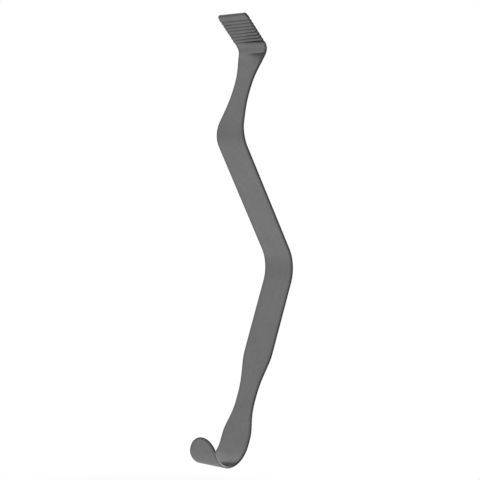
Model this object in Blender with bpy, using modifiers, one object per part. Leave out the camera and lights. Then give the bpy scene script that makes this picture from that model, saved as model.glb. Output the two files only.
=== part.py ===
"""Aorta retractor, made from one strip of stainless steel.

The strip is blanked with a wide grip, two waists and a rounded tip, bent three times and hooked at its lower end,
rounded along its edges, and grooved across both faces of the grip. Metres, +Z up, +X across the strip, and the front
faces -Y. The origin is the middle of the grip.
"""

import math
from collections import namedtuple

import bmesh
import bpy
from mathutils import Matrix, Vector

# The strip
STRIP_WIDTH = 0.020
STRIP_THICKNESS = 0.0015
EDGE_ROUND = 0.0003
GRIP_CORNER_RADIUS = 0.0009
TIP_ROUND_LENGTH = 0.0125

# Straight runs, from the grip's end down to the tip of the hook
GRIP_LENGTH = 0.0232
NECK_LENGTH = 0.0429
UPPER_HANDLE_LENGTH = 0.0715
LOWER_HANDLE_LENGTH = 0.098
TIP_LENGTH = 0.0075

# Direction of each run in degrees, forward of straight down
GRIP_LEAN = -53.0
NECK_LEAN = 20.5
UPPER_HANDLE_LEAN = -38.0
LOWER_HANDLE_LEAN = 19.5
BOWL_LEAN = 95.0
TIP_LEAN = 166.0

# Radius inside each bend, and in the two parts of the hook
GRIP_BEND_RADIUS = 0.0039
UPPER_BEND_RADIUS = 0.0135
LOWER_BEND_RADIUS = 0.0201
BOWL_RADIUS = 0.0154
HOOK_TIP_RADIUS = 0.0113

# How much wider each side of the grip is, and where that starts from the grip's end and ends past the grip
GRIP_SPREAD = 0.00045
SPREAD_START = 0.0008
SPREAD_RISE = 0.0022
SPREAD_FALL = 0.0075
SPREAD_PAST_GRIP = 0.0058

# The neck's waist, with its middle measured from the start of the neck
NECK_WAIST_WIDTH = 0.0117
NECK_WAIST_PLACE = 0.0213
NECK_WAIST_ABOVE = 0.0267
NECK_WAIST_BELOW = 0.0341
NECK_WAIST_FULLNESS = 1.17

# The blade's waist, with its middle measured back from the start of the hook
BLADE_WAIST_WIDTH = 0.0130
BLADE_WAIST_PLACE = 0.0260
BLADE_WAIST_ABOVE = 0.0287
BLADE_WAIST_BELOW = 0.0222
BLADE_WAIST_FULLNESS = 1.30

# Grooves across the grip, with the first one's middle measured from the grip's end. The last one on the front is wide
# and runs out into the bend.
GROOVE_START = 0.0047
GROOVE_WIDTH = 0.0014
LAND_WIDTH = 0.00093
RUN_OUT_WIDTH = 0.0031
LEAST_PLAIN_END = 0.0020
STEEL_BETWEEN_GROOVES = 0.0007
CUTTER_OVERHANG = 0.002

# How finely round stretches are divided
BEND_STEP = 4.0
SPREAD_STEPS = 4
WAIST_STEPS = 12
TIP_STEPS = 12
CORNER_STEPS = 3
GROOVE_SIDES = 28
RUN_OUT_SIDES = 64
LEAST_ROW_GAP = 0.0001
FLAT_WITHIN = math.radians(0.2)
ROUND_ABOVE = math.radians(50)
MOST_ROUND_OF_THICKNESS = 0.4

Stretch = namedtuple("Stretch", "name length start end")
Waist = namedtuple("Waist", "middle width above below fullness")


def straight(name, length, lean):
    """A straight run."""
    return Stretch(name, length, math.radians(lean), math.radians(lean))


def bend(name, inside_radius, start, end):
    """A bend, as long as its arc through the middle of the strip's thickness."""
    radius = inside_radius + STRIP_THICKNESS / 2
    start, end = math.radians(start), math.radians(end)
    return Stretch(name, radius * abs(end - start), start, end)


STRETCHES = (
    straight("grip", GRIP_LENGTH, GRIP_LEAN),
    bend("grip_bend", GRIP_BEND_RADIUS, GRIP_LEAN, NECK_LEAN),
    straight("neck", NECK_LENGTH, NECK_LEAN),
    bend("upper_bend", UPPER_BEND_RADIUS, NECK_LEAN, UPPER_HANDLE_LEAN),
    straight("upper_handle", UPPER_HANDLE_LENGTH, UPPER_HANDLE_LEAN),
    bend("lower_bend", LOWER_BEND_RADIUS, UPPER_HANDLE_LEAN, LOWER_HANDLE_LEAN),
    straight("lower_handle", LOWER_HANDLE_LENGTH, LOWER_HANDLE_LEAN),
    bend("bowl", BOWL_RADIUS, LOWER_HANDLE_LEAN, BOWL_LEAN),
    bend("hook_tip", HOOK_TIP_RADIUS, BOWL_LEAN, TIP_LEAN),
    straight("tip", TIP_LENGTH, TIP_LEAN),
)
STRIP_LENGTH = sum(stretch.length for stretch in STRETCHES)


def start_of(name):
    """Distance along the strip to the start of a stretch."""
    names = [stretch.name for stretch in STRETCHES]
    return sum(stretch.length for stretch in STRETCHES[: names.index(name)])


WAISTS = (
    Waist(
        start_of("neck") + NECK_WAIST_PLACE,
        NECK_WAIST_WIDTH,
        NECK_WAIST_ABOVE,
        NECK_WAIST_BELOW,
        NECK_WAIST_FULLNESS,
    ),
    Waist(
        start_of("bowl") - BLADE_WAIST_PLACE,
        BLADE_WAIST_WIDTH,
        BLADE_WAIST_ABOVE,
        BLADE_WAIST_BELOW,
        BLADE_WAIST_FULLNESS,
    ),
)


# The grip's extra width starts to fall here
FALL_START = GRIP_LENGTH + SPREAD_PAST_GRIP - SPREAD_FALL


def point_and_lean(station):
    """The middle of the strip at a distance along it, as (y, z) from the grip's end, and its direction there."""
    y = z = 0.0
    lean = STRETCHES[0].start
    for stretch in STRETCHES:
        step = min(station, stretch.length)
        lean = stretch.start + (stretch.end - stretch.start) * step / stretch.length
        if stretch.start == stretch.end:
            y -= math.sin(lean) * step
            z -= math.cos(lean) * step
        else:
            radius = stretch.length / (stretch.end - stretch.start)
            y += radius * (math.cos(lean) - math.cos(stretch.start))
            z -= radius * (math.sin(lean) - math.sin(stretch.start))
        station -= step
        if station <= 0:
            break
    return y, z, lean


def on_strip(station, across=0.0, off=0.0):
    """A point of the bent strip, off its middle towards the back, with the middle of the grip at the origin."""
    y, z, lean = point_and_lean(station)
    grip_y, grip_z, _ = point_and_lean(GRIP_LENGTH / 2)
    return Vector((across, y - grip_y + off * math.cos(lean), z - grip_z - off * math.sin(lean)))


def waist_loss(waist, station):
    """How much narrower a waist makes the strip at a distance along it."""
    away = station - waist.middle
    share = abs(away) / (waist.above if away < 0 else waist.below)
    if share >= 1:
        return 0.0
    depth = STRIP_WIDTH - waist.width
    return depth * (1 + math.cos(math.pi * share**waist.fullness)) / 2


def eased(share):
    """0 to 1 with a level start and end."""
    share = min(max(share, 0.0), 1.0)
    return share**2 * (3 - 2 * share)


def grip_spread(station):
    """How much wider each side of the grip is at a distance along the strip."""
    rise = eased((station - SPREAD_START) / SPREAD_RISE)
    fall = eased((station - FALL_START) / SPREAD_FALL)
    return GRIP_SPREAD * (rise - fall)


def half_width(station):
    """Half the blank's width at a distance along it."""
    half = (STRIP_WIDTH - sum(waist_loss(waist, station) for waist in WAISTS)) / 2 + grip_spread(station)
    to_corner = max(GRIP_CORNER_RADIUS - station, 0.0)
    half -= GRIP_CORNER_RADIUS - math.sqrt(GRIP_CORNER_RADIUS**2 - to_corner**2)
    into_tip = min(max(1 - (STRIP_LENGTH - station) / TIP_ROUND_LENGTH, 0.0), 1.0)
    return half * math.sqrt(1 - into_tip**2)


def stations():
    """Distances along the strip that get a row of points: close together where it bends or its edge curves."""
    ends = [0.0]
    between = []
    for stretch in STRETCHES:
        steps = math.ceil(abs(math.degrees(stretch.end - stretch.start)) / BEND_STEP)
        between += [ends[-1] + stretch.length * i / steps for i in range(1, steps)]
        ends.append(ends[-1] + stretch.length)
    for waist in WAISTS:
        between += [waist.middle - waist.above * i / WAIST_STEPS for i in range(WAIST_STEPS + 1)]
        between += [waist.middle + waist.below * i / WAIST_STEPS for i in range(1, WAIST_STEPS + 1)]
    for i in range(SPREAD_STEPS + 1):
        between.append(SPREAD_START + SPREAD_RISE * i / SPREAD_STEPS)
        between.append(FALL_START + SPREAD_FALL * i / SPREAD_STEPS)
    quarter = math.pi / 2
    for i in range(1, CORNER_STEPS + 1):
        between.append(GRIP_CORNER_RADIUS * (1 - math.cos(quarter * i / CORNER_STEPS)))
    for i in range(TIP_STEPS):
        between.append(STRIP_LENGTH - TIP_ROUND_LENGTH * (1 - math.sin(quarter * i / TIP_STEPS)))
    rows = sorted(ends)
    for station in sorted(between):
        if min(abs(station - row) for row in rows) >= LEAST_ROW_GAP and 0 < station < STRIP_LENGTH:
            rows.append(station)
    return sorted(rows)


def bent_sheet():
    """The blank bent to shape, as a sheet through the middle of the steel."""
    rows = stations()
    sheet = bmesh.new()
    bmesh.ops.create_grid(sheet, x_segments=1, y_segments=len(rows) - 1, size=1)
    for index, vertex in enumerate(sheet.verts):
        row, side = divmod(index, 2)
        half = half_width(rows[row])
        vertex.co = on_strip(rows[row], half if side else -half)
    bmesh.ops.remove_doubles(sheet, verts=sheet.verts, dist=LEAST_ROW_GAP / 10)
    # Each flat run becomes one face, so that its rounded edge follows the outline and not the rows
    bmesh.ops.dissolve_limit(sheet, angle_limit=FLAT_WITHIN, verts=sheet.verts, edges=sheet.edges)
    mesh = bpy.data.meshes.new("retractor")
    sheet.to_mesh(mesh)
    sheet.free()
    mesh.shade_smooth()
    return mesh


def groove_cutter(name, station, side, width, sides):
    """A round bar lying across one face of the grip, sunk into it to cut a groove of the given width."""
    depth = (STRIP_THICKNESS - STEEL_BETWEEN_GROOVES) / 2
    radius = ((width / 2) ** 2 + depth**2) / (2 * depth)
    bar = bmesh.new()
    bmesh.ops.create_cone(
        bar,
        cap_ends=True,
        segments=sides,
        radius1=radius,
        radius2=radius,
        depth=STRIP_WIDTH + 2 * (GRIP_SPREAD + CUTTER_OVERHANG),
        matrix=Matrix.Rotation(math.pi / 2, 4, "Y"),
    )
    mesh = bpy.data.meshes.new(name)
    bar.to_mesh(mesh)
    bar.free()
    cutter = bpy.data.objects.new(name, mesh)
    cutter.location = on_strip(station, off=side * (STRIP_THICKNESS / 2 + radius - depth))
    cutter.display_type = "WIRE"
    cutter.hide_render = True
    return cutter


def groove_cutters():
    """The bars that cut the grooves, opposite each other on the front and the back of the grip, and the run-out."""
    pitch = GROOVE_WIDTH + LAND_WIDTH
    last = int((GRIP_LENGTH - LEAST_PLAIN_END - GROOVE_START) / pitch)
    cutters = []
    for i in range(last + 1):
        station = GROOVE_START + i * pitch
        cutters.append(groove_cutter(f"back_groove_{i + 1}", station, 1, GROOVE_WIDTH, GROOVE_SIDES))
        if i < last:
            cutters.append(groove_cutter(f"front_groove_{i + 1}", station, -1, GROOVE_WIDTH, GROOVE_SIDES))
    run_out = station + (RUN_OUT_WIDTH - GROOVE_WIDTH) / 2
    cutters.append(groove_cutter("front_run_out", run_out, -1, RUN_OUT_WIDTH, RUN_OUT_SIDES))
    return cutters


def satin_steel():
    """Bead-blasted stainless steel, a dull mid grey."""
    material = bpy.data.materials.new("satin_steel")
    material.use_nodes = True
    shader = material.node_tree.nodes["Principled BSDF"]
    shader.inputs["Base Color"].default_value = (0.25, 0.25, 0.25, 1.0)
    shader.inputs["Metallic"].default_value = 1.0
    shader.inputs["Roughness"].default_value = 0.36
    return material


def new_collection(name):
    """A collection in the scene."""
    collection = bpy.data.collections.new(name)
    bpy.context.scene.collection.children.link(collection)
    return collection


def main():
    """Makes the retractor from the bent sheet: thickness first, then its rounded edges, then the grooves."""
    for thing in list(bpy.data.objects):
        bpy.data.objects.remove(thing, do_unlink=True)
    parts = new_collection("aorta_retractor")
    cutters = new_collection("cutters")
    cutters.hide_render = True
    for cutter in groove_cutters():
        cutters.objects.link(cutter)

    retractor = bpy.data.objects.new("retractor", bent_sheet())
    parts.objects.link(retractor)
    retractor.data.materials.append(satin_steel())

    thickness = retractor.modifiers.new("thickness", "SOLIDIFY")
    thickness.thickness = STRIP_THICKNESS
    thickness.offset = 0
    thickness.use_even_offset = True

    edges = retractor.modifiers.new("rounded_edges", "BEVEL")
    edges.width = min(EDGE_ROUND, STRIP_THICKNESS * MOST_ROUND_OF_THICKNESS)
    edges.segments = 2
    edges.limit_method = "ANGLE"
    edges.angle_limit = ROUND_ABOVE
    edges.use_clamp_overlap = False

    grooves = retractor.modifiers.new("grooves", "BOOLEAN")
    grooves.operation = "DIFFERENCE"
    grooves.operand_type = "COLLECTION"
    grooves.collection = cutters
    grooves.solver = "EXACT"

    retractor.modifiers.new("flat_shading_of_flats", "WEIGHTED_NORMAL")


main()
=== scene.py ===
"""Aorta retractor: the finished look of one bent, blasted and grooved strip of stainless steel."""

import math

import bmesh
import bpy
import numpy as np
from mathutils import Matrix, Vector


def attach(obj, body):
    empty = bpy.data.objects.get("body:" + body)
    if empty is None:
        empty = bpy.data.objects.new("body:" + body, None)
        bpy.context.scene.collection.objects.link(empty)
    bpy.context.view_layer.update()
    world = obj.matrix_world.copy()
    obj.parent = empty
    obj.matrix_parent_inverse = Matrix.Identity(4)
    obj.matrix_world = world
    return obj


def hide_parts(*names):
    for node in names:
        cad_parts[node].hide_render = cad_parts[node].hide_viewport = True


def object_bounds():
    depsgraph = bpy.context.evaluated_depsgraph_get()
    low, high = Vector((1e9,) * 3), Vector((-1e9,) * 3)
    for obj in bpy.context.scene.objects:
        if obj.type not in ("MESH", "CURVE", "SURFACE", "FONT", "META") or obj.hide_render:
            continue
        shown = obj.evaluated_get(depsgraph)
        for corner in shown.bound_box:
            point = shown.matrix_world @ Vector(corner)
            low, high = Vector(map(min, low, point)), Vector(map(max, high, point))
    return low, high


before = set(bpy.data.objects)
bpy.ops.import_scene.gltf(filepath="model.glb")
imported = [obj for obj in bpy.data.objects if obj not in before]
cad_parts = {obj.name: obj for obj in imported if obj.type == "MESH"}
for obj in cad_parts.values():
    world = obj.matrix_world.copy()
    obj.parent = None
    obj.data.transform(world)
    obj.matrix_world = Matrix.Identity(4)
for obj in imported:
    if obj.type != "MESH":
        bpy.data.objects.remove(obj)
cad_low, cad_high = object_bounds()

# The retractor
# It is one flat strip of stainless steel, blanked with two waists, a grooved grip and a rounded tip. It is
# bent three times, rolled into the hook, rounded along its edges, and blasted with glass beads to dull grey.
STRIP_WIDTH = 0.020
STRIP_THICKNESS = 0.0015
GRIP_LENGTH = 0.0232
NECK_LENGTH = 0.0429
UPPER_HANDLE_LENGTH = 0.0715
LOWER_HANDLE_LENGTH = 0.098
TIP_LENGTH = 0.0075
# Directions in degrees forward of straight down
GRIP_LEAN = -53.0
NECK_LEAN = 20.5
UPPER_HANDLE_LEAN = -38.0
LOWER_HANDLE_LEAN = 19.5
BOWL_LEAN = 95.0
TIP_LEAN = 166.0
# Inside radii
GRIP_BEND_RADIUS = 0.0039
UPPER_BEND_RADIUS = 0.0135
LOWER_BEND_RADIUS = 0.0201
BOWL_RADIUS = 0.0154
HOOK_TIP_RADIUS = 0.0113


def straight(length, lean):
    """A straight run as (length, direction at its start, direction at its end)."""
    return length, math.radians(lean), math.radians(lean)


def bend(inside_radius, start, end):
    """A bend in the same form, as long as its arc through the middle of the steel."""
    turn = math.radians(end - start)
    return (inside_radius + STRIP_THICKNESS / 2) * abs(turn), math.radians(start), math.radians(end)


COURSE = (
    straight(GRIP_LENGTH, GRIP_LEAN),
    bend(GRIP_BEND_RADIUS, GRIP_LEAN, NECK_LEAN),
    straight(NECK_LENGTH, NECK_LEAN),
    bend(UPPER_BEND_RADIUS, NECK_LEAN, UPPER_HANDLE_LEAN),
    straight(UPPER_HANDLE_LENGTH, UPPER_HANDLE_LEAN),
    bend(LOWER_BEND_RADIUS, UPPER_HANDLE_LEAN, LOWER_HANDLE_LEAN),
    straight(LOWER_HANDLE_LENGTH, LOWER_HANDLE_LEAN),
    bend(BOWL_RADIUS, LOWER_HANDLE_LEAN, BOWL_LEAN),
    bend(HOOK_TIP_RADIUS, BOWL_LEAN, TIP_LEAN),
    straight(TIP_LENGTH, TIP_LEAN),
)
# Where each run or bend starts along the strip. The neck is the third of them and the bowl is the eighth.
STARTS = np.concatenate([[0.0], np.cumsum([length for length, _, _ in COURSE])])
NECK_START = STARTS[2]
BOWL_START = STARTS[7]
STRIP_LENGTH = STARTS[-1]


def middle_line(along):
    """y, z and direction of the steel's middle: a run adds its length that way, a bend adds its arc."""
    y = np.zeros_like(along)
    z = np.zeros_like(along)
    lean = np.full_like(along, COURSE[0][1])
    for begins, (length, start, end) in zip(STARTS, COURSE):
        step = np.clip(along - begins, 0, length)
        turned = start + (end - start) * step / length
        if start == end:
            y -= math.sin(start) * step
            z -= math.cos(start) * step
        else:
            radius = length / (end - start)
            y += radius * (np.cos(turned) - math.cos(start))
            z -= radius * (np.sin(turned) - math.sin(start))
        lean = np.where(along > begins, turned, lean)
    return y, z, lean


def bent(across, along, off):
    """Carries the flat strip's points to the bent one: off its middle along the normal, from mid grip."""
    y, z, lean = middle_line(along)
    grip_y, grip_z, _ = middle_line(np.array([GRIP_LENGTH / 2]))
    return np.stack([across, y - grip_y + off * np.cos(lean), z - grip_z - off * np.sin(lean)], axis=-1)


def eased(share):
    """0 to 1 with a level start and end: three times the square less twice the cube."""
    share = np.clip(share, 0, 1)
    return share**2 * (3 - 2 * share)


# The grip is spread a little where it is grooved, and its end corners are round
GRIP_SPREAD = 0.00045
SPREAD_START = 0.0008
SPREAD_RISE = 0.0022
SPREAD_END = 0.0215
SPREAD_FALL = 0.0075
GRIP_CORNER_RADIUS = 0.0009
TIP_ROUND_LENGTH = 0.0125
# Each waist's middle, width, length above and below its middle, and fullness
WAISTS = (
    (NECK_START + 0.0213, 0.0117, 0.0267, 0.0341, 1.17),
    (BOWL_START - 0.0260, 0.0130, 0.0287, 0.0222, 1.30),
)


def half_width(along):
    """Half the strip and the grip's spread, less waists' cosine dips and corners, times the tip's ellipse."""
    spread = eased((along - SPREAD_START) / SPREAD_RISE) - eased((along - SPREAD_END) / SPREAD_FALL)
    half = STRIP_WIDTH / 2 + GRIP_SPREAD * spread
    for middle, width, above, below, fullness in WAISTS:
        away = along - middle
        share = np.clip(np.abs(away) / np.where(away < 0, above, below), 0, 1)
        half -= (STRIP_WIDTH - width) / 4 * (1 + np.cos(np.pi * share**fullness))
    to_corner = np.clip(GRIP_CORNER_RADIUS - along, 0, GRIP_CORNER_RADIUS)
    half -= GRIP_CORNER_RADIUS - np.sqrt(GRIP_CORNER_RADIUS**2 - to_corner**2)
    into_tip = np.clip(1 - (STRIP_LENGTH - along) / TIP_ROUND_LENGTH, 0, 1)
    return half * np.sqrt(1 - into_tip**2)


# How far apart the rows of points lie on the grip and on the runs, how many degrees one turns from the next
# in a bend, and how many round the tip and each corner of the grip
GRIP_ROW_STEP = 0.0001
RUN_ROW_STEP = 0.0010
BEND_ROW_TURN = 1.5
TIP_ROWS = 40
CORNER_ROWS = 14
# A place is rounded to so many decimals, and left out where it is no further from the one before or the tip
ROW_DECIMALS = 7
LEAST_ROW_STEP = 8e-6
LEAST_TIP_STEP = 2e-6


def rows_along():
    """Places along the strip that get a row: fine in grip and bends, coarser on runs, close at the tip."""
    places = [
        STARTS,
        np.arange(0, NECK_START, GRIP_ROW_STEP),
        np.arange(NECK_START, STRIP_LENGTH, RUN_ROW_STEP),
        GRIP_CORNER_RADIUS * (1 - np.cos(np.linspace(0, np.pi / 2, CORNER_ROWS))),
        STRIP_LENGTH - TIP_ROUND_LENGTH * (1 - np.sin(np.linspace(0, np.pi / 2, TIP_ROWS))),
    ]
    for begins, (length, start, end) in zip(STARTS, COURSE):
        steps = math.ceil(abs(math.degrees(end - start)) / BEND_ROW_TURN)
        places.append(np.linspace(begins, begins + length, max(steps, 1) + 1))
    places = np.unique(np.round(np.concatenate(places), ROW_DECIMALS))
    places = places[(places >= 0) & (places < STRIP_LENGTH - LEAST_TIP_STEP)]
    kept = np.concatenate([[True], np.diff(places) > LEAST_ROW_STEP])
    return np.append(places[kept], STRIP_LENGTH)


# The handle's edges are only broken. The hook's are rounder and bevelled inside, so that they don't cut.
EDGE_ROUND = 0.0003
HOOK_EDGE_ROUND = 0.0004
ROUNDING_BEFORE_BOWL = 0.004
ROUNDING_GROWTH = 0.018
HOOK_BEVEL = 0.00055
BEVEL_START = BOWL_START + 0.014
BEVEL_RISE = 0.010
BEVEL_END_BEFORE_TIP = 0.0095
BEVEL_FALL = 0.004


def edge_round(along):
    """Radius of the edges: the handle's, with an eased growth to the hook's."""
    share = eased((along - BOWL_START + ROUNDING_BEFORE_BOWL) / ROUNDING_GROWTH)
    return EDGE_ROUND + (HOOK_EDGE_ROUND - EDGE_ROUND) * share


def hook_bevel(along):
    """Inset of the hook's bevelled inner brink, eased in past the bowl's start and out before the tip."""
    rise = eased((along - BEVEL_START) / BEVEL_RISE)
    return HOOK_BEVEL * rise * (1 - eased((along - STRIP_LENGTH + BEVEL_END_BEFORE_TIP) / BEVEL_FALL))


# Grooves across both faces of the grip, opposite each other, with domed ridges between them
GROOVE_START = 0.00472
GROOVE_PITCH = 0.00233
GROOVE_COUNT = 8
GROOVE_DEPTH = 0.00047
GROOVE_FILLET = 0.10
LAST_GROOVE = GROOVE_START + (GROOVE_COUNT - 1) * GROOVE_PITCH
# Below the last groove the front face stays ground away, deeper on the right, and runs out into the bend
RELIEF_DEPTH = 0.00045
RELIEF_FLOOR = 0.0003
RELIEF_LENGTH = 0.0043
RELIEF_TILT = 0.25


def groove_depth(along):
    """Each ridge is a parabola falling to the grooves beside it, and a fillet rounds a groove's bottom."""
    count = np.clip(np.round((along - GROOVE_START) / GROOVE_PITCH), 0, GROOVE_COUNT - 1)
    away = np.abs(along - GROOVE_START - count * GROOVE_PITCH) / (GROOVE_PITCH / 2)
    return GROOVE_DEPTH * np.clip(1 - np.sqrt(away**2 + GROOVE_FILLET**2), 0, None) ** 2


def face_depth(across, along, front):
    """How far a face lies below the plain strip: in the grooves, and in the front's relief after the last."""
    relief = (1 - eased((along - LAST_GROOVE - RELIEF_FLOOR) / RELIEF_LENGTH)) * (along > LAST_GROOVE)
    relief = RELIEF_DEPTH * relief * (1 + RELIEF_TILT * across / (STRIP_WIDTH / 2))
    return np.maximum(groove_depth(along), relief * front)


# A row of points goes from the front round the right edge, over the back, round the left edge and over the
# front. On an edge the turn away from its wall falls from a quarter circle to nothing, and grows again.
ROUND_STEPS = 6
FACE_TO_WALL = np.linspace(np.pi / 2, 0, ROUND_STEPS)
EDGE_TURN = np.concatenate([FACE_TO_WALL, FACE_TO_WALL[::-1]])
EDGE_FRONT = np.repeat([1.0, 0.0], ROUND_STEPS)
# Places over a face from its right brink to its left, closer near both, as shares of half its width
ACROSS_STEPS = 16
OVER_FACE = np.cos(np.linspace(0, np.pi, ACROSS_STEPS + 1))
FACE_POINTS = ACROSS_STEPS - 1
# 1 for a row's points on the front and 0 on the back, and each point's share of the wall, which is the
# squared cosine of its turn
ROW_FRONT = np.concatenate([EDGE_FRONT, np.zeros(FACE_POINTS), EDGE_FRONT[::-1], np.ones(FACE_POINTS)])
ROW_WALL = np.tile(np.append(np.cos(EDGE_TURN) ** 2, np.zeros(FACE_POINTS)), 2)


def outline_normals(along):
    """Inward normals of the flat blank's right-hand outline, square to its slope, straight at its ends."""
    near = 1e-6
    slope = (half_width(along + near) - half_width(along - near)) / (2 * near)
    length = np.hypot(slope, 1)
    inward = np.stack([-1 / length, slope / length], axis=1)
    inward[0] = (0.0, 1.0)
    inward[-1] = (0.0, -1.0)
    return inward


def strip_rows(along):
    """Across, along and off of the points of each row, for a skin that is bent later.

    An edge is a quarter circle from each face to a flat wall, square to the outline in the flat. A bevel
    moves the front brink inwards and leans the wall.
    """
    inward = outline_normals(along)
    radius = edge_round(along)[:, None]
    drop = radius * (1 - np.sin(EDGE_TURN))
    bevel = hook_bevel(along)[:, None] * EDGE_FRONT * (1 - drop / (STRIP_THICKNESS / 2))
    inset = radius * (1 - np.cos(EDGE_TURN)) + bevel
    edge_across = np.clip(half_width(along)[:, None] + inward[:, :1] * inset, 0, None)
    edge_along = along[:, None] + inward[:, 1:] * inset
    back_across = edge_across[:, -1:] * OVER_FACE[1:-1]
    front_across = -edge_across[:, :1] * OVER_FACE[1:-1]
    back_along = np.repeat(edge_along[:, -1:], FACE_POINTS, axis=1)
    front_along = np.repeat(edge_along[:, :1], FACE_POINTS, axis=1)
    no_drop = np.zeros_like(back_across)
    across = np.hstack([edge_across, back_across, -edge_across[:, ::-1], front_across])
    run = np.hstack([edge_along, back_along, edge_along[:, ::-1], front_along])
    drop = np.hstack([drop, no_drop, drop[:, ::-1], no_drop])
    off = (1 - 2 * ROW_FRONT) * (STRIP_THICKNESS / 2 - face_depth(across, run, ROW_FRONT) - drop)
    return across, run, off


def end_face(across, run, off):
    """The square end of the grip: the first row's right edge carried straight across to its left edge."""
    edge = slice(0, len(EDGE_TURN))
    end_run = np.repeat(run[0, edge, None], len(OVER_FACE), axis=1)
    end_off = np.repeat(off[0, edge, None], len(OVER_FACE), axis=1)
    return across[0, edge, None] * OVER_FACE, end_run, end_off


# Painted shade darkens the rims of the faces, the end of the grip and, weakly, the whole grip. Painted light
# lightens the insides of the grip's bend and of the hook's bowl, where the steel mirrors itself dark, each by
# its middle and its reach along the strip.
RIM_WIDTH = 0.0010
RIM_PAINTED_SHADE = 0.54
END_WIDTH = 0.0016
END_PAINTED_SHADE = 0.60
GRIP_PAINTED_SHADE = 0.10
GRIP_PAINTED_SHADE_FADE = 0.003
# Painted light on the insides of the bends, which fills their shade: its share, and each bend's middle and
# reach
PAINTED_LIGHT_SHARE = 0.18
PAINTED_LIGHT_PLACES = ((NECK_START + 0.0010, 0.0050), (BOWL_START + 0.0175, 0.0060))


def steel_marks(along, across, run, off):
    """Polish with painted light, and painted shade, of the points of the rows, each from 0 to 1.

    Polish is the wall's share along the bevel, or an eased bump of painted light on the front of a bend,
    where the steel mirrors itself dark. Painted shade is the greatest of the rim's and the end's, which fall
    evenly inwards, the grip's, and the wall's share, which it loses along the bevel.
    """
    back_brink = across[:, len(EDGE_TURN) - 1, None]
    to_brink = (back_brink - np.abs(across)) * -outline_normals(along)[:, :1]
    rim = np.clip(1 - to_brink / RIM_WIDTH, 0, 1)
    bevel_wall = ROW_WALL * (hook_bevel(along)[:, None] / HOOK_BEVEL)
    painted_light_bumps = sum(1 - eased(np.abs(run - middle) / reach) for middle, reach in PAINTED_LIGHT_PLACES)
    polish_and_painted_light = np.maximum(bevel_wall, PAINTED_LIGHT_SHARE * painted_light_bumps * (1 - rim) * (off < 0))
    end = END_PAINTED_SHADE * np.clip(1 - run / END_WIDTH, 0, 1)
    on_grip = 1 - eased((run - LAST_GROOVE) / GRIP_PAINTED_SHADE_FADE)
    painted_shade = np.maximum(np.maximum(RIM_PAINTED_SHADE * rim, end), GRIP_PAINTED_SHADE * on_grip)
    return polish_and_painted_light, np.maximum(painted_shade, ROW_WALL) * (1 - bevel_wall)


# Points this close become one point, and edges this short are taken out
SAME_POINT = 2e-7
NO_EDGE = 1e-7


def grid_faces(rows, columns, first, closed):
    """Quads between neighbours of a grid of points, joined round each row if closed."""
    index = first + np.arange(rows * columns).reshape(rows, columns)
    after = np.roll(index, -1, axis=1) if closed else index[:, 1:]
    here = index if closed else index[:, :-1]
    return np.stack([here[:-1], here[1:], after[1:], after[:-1]], axis=-1).reshape(-1, 4)


def retractor_skin():
    """The whole skin as one closed mesh, with polish and painted light, painted shade and groove depth as
    attributes from 0 to 1.
    """
    along = rows_along()
    across, run, off = strip_rows(along)
    polish_and_painted_light, painted_shade = steel_marks(along, across, run, off)
    end_across, end_run, end_off = end_face(across, run, off)
    skin = bent(across.ravel(), run.ravel(), off.ravel())
    end = bent(end_across.ravel(), end_run.ravel(), end_off.ravel())
    faces = np.vstack([
        grid_faces(*across.shape, 0, True),
        grid_faces(*end_across.shape, len(skin), False),
    ])
    mesh = bpy.data.meshes.new("retractor_strip")
    mesh.from_pydata(np.vstack([skin, end]), [], faces)
    layers = {
        "polish_and_painted_light": np.concatenate([polish_and_painted_light.ravel(), np.zeros(len(end))]),
        "painted_shade": np.concatenate([painted_shade.ravel(), np.full(len(end), END_PAINTED_SHADE)]),
        "groove": groove_depth(np.concatenate([run.ravel(), end_run.ravel()])) / GROOVE_DEPTH,
    }
    for name, values in layers.items():
        mesh.attributes.new(name, "FLOAT", "POINT").data.foreach_set("value", values)
    build = bmesh.new()
    build.from_mesh(mesh)
    bmesh.ops.remove_doubles(build, verts=build.verts, dist=SAME_POINT)
    bmesh.ops.dissolve_degenerate(build, edges=build.edges, dist=NO_EDGE)
    bmesh.ops.recalc_face_normals(build, faces=build.faces)
    build.to_mesh(mesh)
    build.free()
    mesh.shade_smooth()
    return mesh


# Blasted steel is an even dull grey. Painted shade makes it a little darker on the grip, more so on the rims
# of the faces and the floors of the grooves, and darkest on the edges, whose walls turn from the light. The
# hook's bevel, polished after blasting, is brighter and smoother. Painted light makes the insides of the
# grip's bend and the hook's bowl faintly brighter, where the steel mirrors itself dark, and they are a little
# smoother too.
STEEL_GREY = 0.25
STEEL_ROUGHNESS = 0.27
GRAZING_TINT = 0.80
# Polish and the painted light on the bends raise the grey by this factor at full share
POLISH_AND_PAINTED_LIGHT_GAIN = 1.75
POLISHED_ROUGHNESS = 0.17
# Painted shade at full share keeps this much of the grey
PAINTED_SHADE_LEVEL = 0.33
# Painted shade on the groove floors, where the grooves hold shade, keeps this much of the grey
GROOVE_PAINTED_SHADE = 0.64
# The blasting leaves fine grain and larger pits, and faint clouds of two sizes
GRAIN_PER_METRE = 5200.0
PITS_PER_METRE = 1924.0
CLOUD_PER_METRE = 420.0
MOTTLE_PER_METRE = 90.0
CLOUD_STRENGTH = 0.22
MOTTLE_STRENGTH = 0.14
PIT_ROUGHNESS = 0.10
PIT_HEIGHT_SHARE = 0.7
GRAIN_HEIGHT = 0.000004
GRAIN_STRENGTH = 0.35


def group_socket(tree, name, kind, way, value=None):
    """Adds a named input or output to a node group."""
    socket = tree.interface.new_socket(name, in_out=way, socket_type=kind)
    if value is not None:
        socket.default_value = value


def new_node(tree, kind, **settings):
    """Adds a node and sets its properties."""
    node = tree.nodes.new(kind)
    for name, value in settings.items():
        setattr(node, name, value)
    return node


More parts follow.
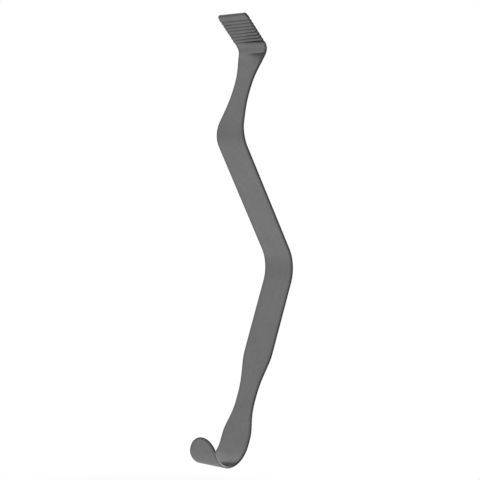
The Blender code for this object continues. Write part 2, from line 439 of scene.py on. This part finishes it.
def number(tree, operation, *values, clamp=False):
    """A Math node on two or three sockets or numbers."""
    node = new_node(tree, "ShaderNodeMath", operation=operation, use_clamp=clamp)
    for socket, value in zip(node.inputs, values):
        if isinstance(value, (int, float)):
            socket.default_value = value
        else:
            tree.links.new(value, socket)
    return node.outputs[0]


def noise(tree, place, per_metre, detail, roughness=0.5):
    """A noise of the given fineness, less a half, so that it swings about zero."""
    node = new_node(tree, "ShaderNodeTexNoise")
    node.inputs["Scale"].default_value = per_metre
    node.inputs["Detail"].default_value = detail
    node.inputs["Roughness"].default_value = roughness
    tree.links.new(place, node.inputs["Vector"])
    return number(tree, "SUBTRACT", node.outputs["Fac"], 0.5)


def blasted_steel_group():
    """Shade, roughness and height of blasted steel.

    Shade is one plus faint clouds of two sizes, times the gain of polish and painted light, and times the
    painted shade of rims, edges and grip and of the groove floors. Roughness swings with the pits and falls
    with the polish and painted light. Height sums grain and pits.
    """
    tree = bpy.data.node_groups.new("blasted_steel", "ShaderNodeTree")
    group_socket(tree, "Place", "NodeSocketVector", "INPUT")
    group_socket(tree, "Polished_And_Painted_Light", "NodeSocketFloat", "INPUT", 0.0)
    group_socket(tree, "Painted_Shade", "NodeSocketFloat", "INPUT", 0.0)
    group_socket(tree, "Groove", "NodeSocketFloat", "INPUT", 0.0)
    group_socket(tree, "Grey", "NodeSocketFloat", "INPUT", STEEL_GREY)
    group_socket(tree, "Roughness", "NodeSocketFloat", "INPUT", STEEL_ROUGHNESS)
    group_socket(tree, "Colour", "NodeSocketColor", "OUTPUT")
    group_socket(tree, "Roughness", "NodeSocketFloat", "OUTPUT")
    group_socket(tree, "Height", "NodeSocketFloat", "OUTPUT")
    given = new_node(tree, "NodeGroupInput")
    made = new_node(tree, "NodeGroupOutput")
    place, polished_and_painted_light, painted_shade, groove, grey, roughness = given.outputs[:6]
    grain = noise(tree, place, GRAIN_PER_METRE, detail=2.0)
    pits = noise(tree, place, PITS_PER_METRE, detail=3.0, roughness=0.6)
    cloud = noise(tree, place, CLOUD_PER_METRE, detail=3.0, roughness=0.6)
    mottle = noise(tree, place, MOTTLE_PER_METRE, detail=2.0)
    shade = number(tree, "MULTIPLY_ADD", mottle, MOTTLE_STRENGTH, 1.0)
    shade = number(tree, "MULTIPLY_ADD", cloud, CLOUD_STRENGTH, shade)
    # Polish with painted light raises the grey; the painted shade and the groove floors' painted shade lower
    # it
    for share, factor in ((polished_and_painted_light, POLISH_AND_PAINTED_LIGHT_GAIN), (painted_shade, PAINTED_SHADE_LEVEL), (groove, GROOVE_PAINTED_SHADE)):
        shade = number(tree, "MULTIPLY", shade, number(tree, "MULTIPLY_ADD", share, factor - 1, 1.0))
    shade = number(tree, "MULTIPLY", shade, grey)
    rough = number(tree, "MULTIPLY_ADD", pits, PIT_ROUGHNESS, roughness)
    rough = number(tree, "MULTIPLY_ADD", polished_and_painted_light, POLISHED_ROUGHNESS - STEEL_ROUGHNESS, rough, clamp=True)
    height = number(tree, "MULTIPLY_ADD", pits, PIT_HEIGHT_SHARE, grain)
    tone = new_node(tree, "ShaderNodeCombineColor")
    for channel in tone.inputs:
        tree.links.new(shade, channel)
    tree.links.new(tone.outputs[0], made.inputs["Colour"])
    tree.links.new(rough, made.inputs["Roughness"])
    tree.links.new(height, made.inputs["Height"])
    return tree


def satin_steel():
    """The steel as a metal fed by the blasted steel group, which gets the skin's attributes as its masks."""
    material = bpy.data.materials.new("satin_steel")
    material.use_nodes = True
    tree = material.node_tree
    shader = tree.nodes["Principled BSDF"]
    shader.inputs["Metallic"].default_value = 1.0
    shader.inputs["Specular Tint"].default_value = (GRAZING_TINT, GRAZING_TINT, GRAZING_TINT, 1.0)
    place = new_node(tree, "ShaderNodeTexCoord").outputs["Object"]
    blasted = new_node(tree, "ShaderNodeGroup", node_tree=blasted_steel_group())
    tree.links.new(place, blasted.inputs["Place"])
    for layer, socket in (("polish_and_painted_light", "Polished_And_Painted_Light"), ("painted_shade", "Painted_Shade"), ("groove", "Groove")):
        mask = new_node(tree, "ShaderNodeAttribute", attribute_name=layer)
        tree.links.new(mask.outputs["Fac"], blasted.inputs[socket])
    bump = new_node(tree, "ShaderNodeBump")
    bump.inputs["Strength"].default_value = GRAIN_STRENGTH
    bump.inputs["Distance"].default_value = GRAIN_HEIGHT
    tree.links.new(blasted.outputs["Colour"], shader.inputs["Base Color"])
    tree.links.new(blasted.outputs["Roughness"], shader.inputs["Roughness"])
    tree.links.new(blasted.outputs["Height"], bump.inputs["Height"])
    tree.links.new(bump.outputs["Normal"], shader.inputs["Normal"])
    return material


strip = bpy.data.objects.new("retractor_strip", retractor_skin())
bpy.context.scene.collection.objects.link(strip)
strip.data.materials.append(satin_steel())
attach(strip, "root")
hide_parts("retractor")

# The camera
# It looks level at the retractor from 39 degrees to its right, close enough for the strip to narrow visibly
# with distance, and leans by about 3 degrees, as the photograph does.
CAMERA_AZIMUTH = 39.15
CAMERA_ROLL = -2.89
CAMERA_DISTANCE = 0.6686
CAMERA_AIM = Vector((0.00881, -0.00254, -0.11868))
FOCAL_PX = 1196.4
IMAGE_PX = 480
SENSOR_MM = 36.0
NEAREST_SEEN = 0.01

azimuth = math.radians(CAMERA_AZIMUTH)
roll = math.radians(CAMERA_ROLL)
towards = Vector((math.sin(azimuth), -math.cos(azimuth), 0.0))
level_right = Vector((math.cos(azimuth), math.sin(azimuth), 0.0))
right = level_right * math.cos(roll) - Vector((0, 0, 1)) * math.sin(roll)
up = level_right * math.sin(roll) + Vector((0, 0, 1)) * math.cos(roll)
camera_data = bpy.data.cameras.new("camera")
camera_data.sensor_width = SENSOR_MM
camera_data.lens = FOCAL_PX / IMAGE_PX * SENSOR_MM
camera_data.clip_start = NEAREST_SEEN
camera = bpy.data.objects.new("camera", camera_data)
turn = Matrix((right, up, towards)).transposed().to_4x4()
camera.matrix_world = Matrix.Translation(CAMERA_AIM + towards * CAMERA_DISTANCE) @ turn
bpy.context.scene.collection.objects.link(camera)
bpy.context.scene.camera = camera

# The floor
# A white studio floor lies a little below the hanging hook. It keeps the retractor's soft shadow near its
# middle and runs out to pure white, so that no horizon shows.
FLOOR_GAP = 0.05
FLOOR_SIDE = 6.0
FLOOR_PAINT = 0.92
FLOOR_ROUGHNESS = 0.9
SHADOW_REACH = 0.10
WHITE_REACH = 0.24


def ramp(tree, value, start, end, from_value, to_value):
    """A smooth step from one value to another while the input goes from start to end."""
    node = new_node(tree, "ShaderNodeMapRange", interpolation_type="SMOOTHSTEP")
    tree.links.new(value, node.inputs["Value"])
    settings = {"From Min": start, "From Max": end, "To Min": from_value, "To Max": to_value}
    for name, setting in settings.items():
        node.inputs[name].default_value = setting
    return node.outputs["Result"]


def white_floor():
    """White paint, mixed over to pure white for the camera with the distance. It is clear to the steel and
    from below."""
    material = bpy.data.materials.new("white_floor")
    material.use_nodes = True
    tree = material.node_tree
    paint = tree.nodes["Principled BSDF"]
    paint.inputs["Base Color"].default_value = (FLOOR_PAINT, FLOOR_PAINT, FLOOR_PAINT, 1.0)
    paint.inputs["Roughness"].default_value = FLOOR_ROUGHNESS
    place = new_node(tree, "ShaderNodeTexCoord").outputs["Object"]
    level = new_node(tree, "ShaderNodeVectorMath", operation="MULTIPLY")
    level.inputs[1].default_value = (1.0, 1.0, 0.0)
    away = new_node(tree, "ShaderNodeVectorMath", operation="LENGTH")
    tree.links.new(place, level.inputs[0])
    tree.links.new(level.outputs[0], away.inputs[0])
    faded = ramp(tree, away.outputs["Value"], SHADOW_REACH, WHITE_REACH, 0.0, 1.0)
    rays = new_node(tree, "ShaderNodeLightPath")
    far_seen = number(tree, "MULTIPLY", rays.outputs["Is Camera Ray"], faded)
    white = new_node(tree, "ShaderNodeEmission")
    seen = new_node(tree, "ShaderNodeMixShader")
    tree.links.new(far_seen, seen.inputs[0])
    tree.links.new(paint.outputs[0], seen.inputs[1])
    tree.links.new(white.outputs[0], seen.inputs[2])
    below = new_node(tree, "ShaderNodeNewGeometry").outputs["Backfacing"]
    cleared = number(tree, "MAXIMUM", rays.outputs["Is Glossy Ray"], below)
    clear = new_node(tree, "ShaderNodeBsdfTransparent")
    surface = new_node(tree, "ShaderNodeMixShader")
    tree.links.new(cleared, surface.inputs[0])
    tree.links.new(seen.outputs[0], surface.inputs[1])
    tree.links.new(clear.outputs[0], surface.inputs[2])
    tree.links.new(surface.outputs[0], tree.nodes["Material Output"].inputs["Surface"])
    return material


floor_mesh = bpy.data.meshes.new("floor")
side = FLOOR_SIDE / 2
floor_z = cad_low[2] - FLOOR_GAP
floor_corners = [(x * side, y * side, floor_z) for x, y in ((-1, -1), (1, -1), (1, 1), (-1, 1))]
floor_mesh.from_pydata(floor_corners, [], [(0, 1, 2, 3)])
floor_mesh.materials.append(white_floor())
floor = bpy.data.objects.new("floor", floor_mesh)
bpy.context.scene.collection.objects.link(floor)

# The studio
# A soft even room lights the steel. A low white backdrop stands behind the retractor, with a ceiling over it
# that is lighter than the room. Dark screens stand right of the backdrop and at the far left, and draw dark
# lines along the edges.
ROOM_LIGHT = 0.62
# What the steel sees from below, at eye level and overhead, and the sines of the heights between which one
# goes over to the next
UNDERSIDE_LIGHT = 0.75
UNDERSIDE_END = (-0.85, -0.20)
EYE_LEVEL_LIGHT = 0.62
OVERHEAD_LIGHT = 0.668
OVERHEAD_START = (0.05, 0.50)
# The direction of each patch, the cosines to it between which the patch comes in, and its light
CEILING = Vector((0.0, 0.6, 0.8))
CEILING_EDGE = (0.45, 0.70)
CEILING_LIGHT = 0.82
SCREEN = Vector((0.60, 0.75, 0.28))
SCREEN_EDGE = (0.55, 0.85)
SCREEN_LIGHT = 0.40
BACKDROP = Vector((-0.2, 0.975, 0.1))
BACKDROP_EDGE = (0.70, 0.85)
BACKDROP_LIGHT = 1.0
# The backdrop fades out upwards between these sines of the height
BACKDROP_TOP = (0.30, 0.50)
# The far left screen leaves this share of the light, and fades out to the right between these directions' X
FAR_LEFT_SHADE = 0.35
FAR_LEFT_END = (-0.98, -0.80)


def towards_share(tree, place, direction, edge):
    """0 to 1 as the cosine between the place looked at and a direction goes over the patch's edge."""
    facing = new_node(tree, "ShaderNodeVectorMath", operation="DOT_PRODUCT")
    tree.links.new(place, facing.inputs[0])
    facing.inputs[1].default_value = direction
    return ramp(tree, facing.outputs["Value"], *edge, 0.0, 1.0)


def mixed_over(tree, seen, light, share):
    """The light seen so far, brought to another by a share."""
    return number(tree, "MULTIPLY_ADD", share, number(tree, "SUBTRACT", light, seen), seen)


def studio_world():
    """White to the camera. To the steel, an even light that is lighter from below and above the backdrop,
    dark on the screens, and white on the backdrop. To the floor, an even light."""
    world = bpy.data.worlds.new("studio")
    world.use_nodes = True
    tree = world.node_tree
    background = tree.nodes["Background"]
    place = new_node(tree, "ShaderNodeTexCoord").outputs["Generated"]
    axes = new_node(tree, "ShaderNodeSeparateXYZ")
    tree.links.new(place, axes.inputs[0])
    across, height = axes.outputs["X"], axes.outputs["Z"]
    below = ramp(tree, height, *UNDERSIDE_END, UNDERSIDE_LIGHT, EYE_LEVEL_LIGHT)
    above = ramp(tree, height, *OVERHEAD_START, 0.0, OVERHEAD_LIGHT - EYE_LEVEL_LIGHT)
    seen = number(tree, "ADD", below, above)
    seen = mixed_over(tree, seen, CEILING_LIGHT, towards_share(tree, place, CEILING, CEILING_EDGE))
    seen = mixed_over(tree, seen, SCREEN_LIGHT, towards_share(tree, place, SCREEN, SCREEN_EDGE))
    seen = number(tree, "MULTIPLY", seen, ramp(tree, across, *FAR_LEFT_END, FAR_LEFT_SHADE, 1.0))
    under_top = ramp(tree, height, *BACKDROP_TOP, 1.0, 0.0)
    on_backdrop = number(tree, "MULTIPLY", under_top, towards_share(tree, place, BACKDROP, BACKDROP_EDGE))
    seen = mixed_over(tree, seen, BACKDROP_LIGHT, on_backdrop)
    rays = new_node(tree, "ShaderNodeLightPath")
    reflected = number(tree, "MAXIMUM", rays.outputs["Is Glossy Ray"], rays.outputs["Is Transmission Ray"])
    to_steel = number(tree, "MULTIPLY", number(tree, "SUBTRACT", seen, ROOM_LIGHT), reflected)
    to_camera = number(tree, "MULTIPLY", rays.outputs["Is Camera Ray"], 1.0 - ROOM_LIGHT)
    strength = number(tree, "ADD", number(tree, "ADD", to_steel, to_camera), ROOM_LIGHT)
    tree.links.new(strength, background.inputs["Strength"])
    background.inputs["Color"].default_value = (1.0, 1.0, 1.0, 1.0)
    bpy.context.scene.world = world


def softbox(name, place, size, watts):
    """A square area light that faces the retractor. The steel doesn't mirror it as a spot."""
    data = bpy.data.lights.new(name, "AREA")
    data.size = size
    data.energy = watts
    light = bpy.data.objects.new(name, data)
    light.location = place
    light.rotation_euler = (CAMERA_AIM - light.location).to_track_quat("-Z", "Y").to_euler()
    light.visible_glossy = False
    bpy.context.scene.collection.objects.link(light)


studio_world()
softbox("key", place=Vector((-0.9, -1.0, 0.9)), size=0.9, watts=9.0)
softbox("fill", place=Vector((1.0, -1.1, 0.3)), size=0.8, watts=4.0)

bpy.context.scene.view_settings.view_transform = "Standard"
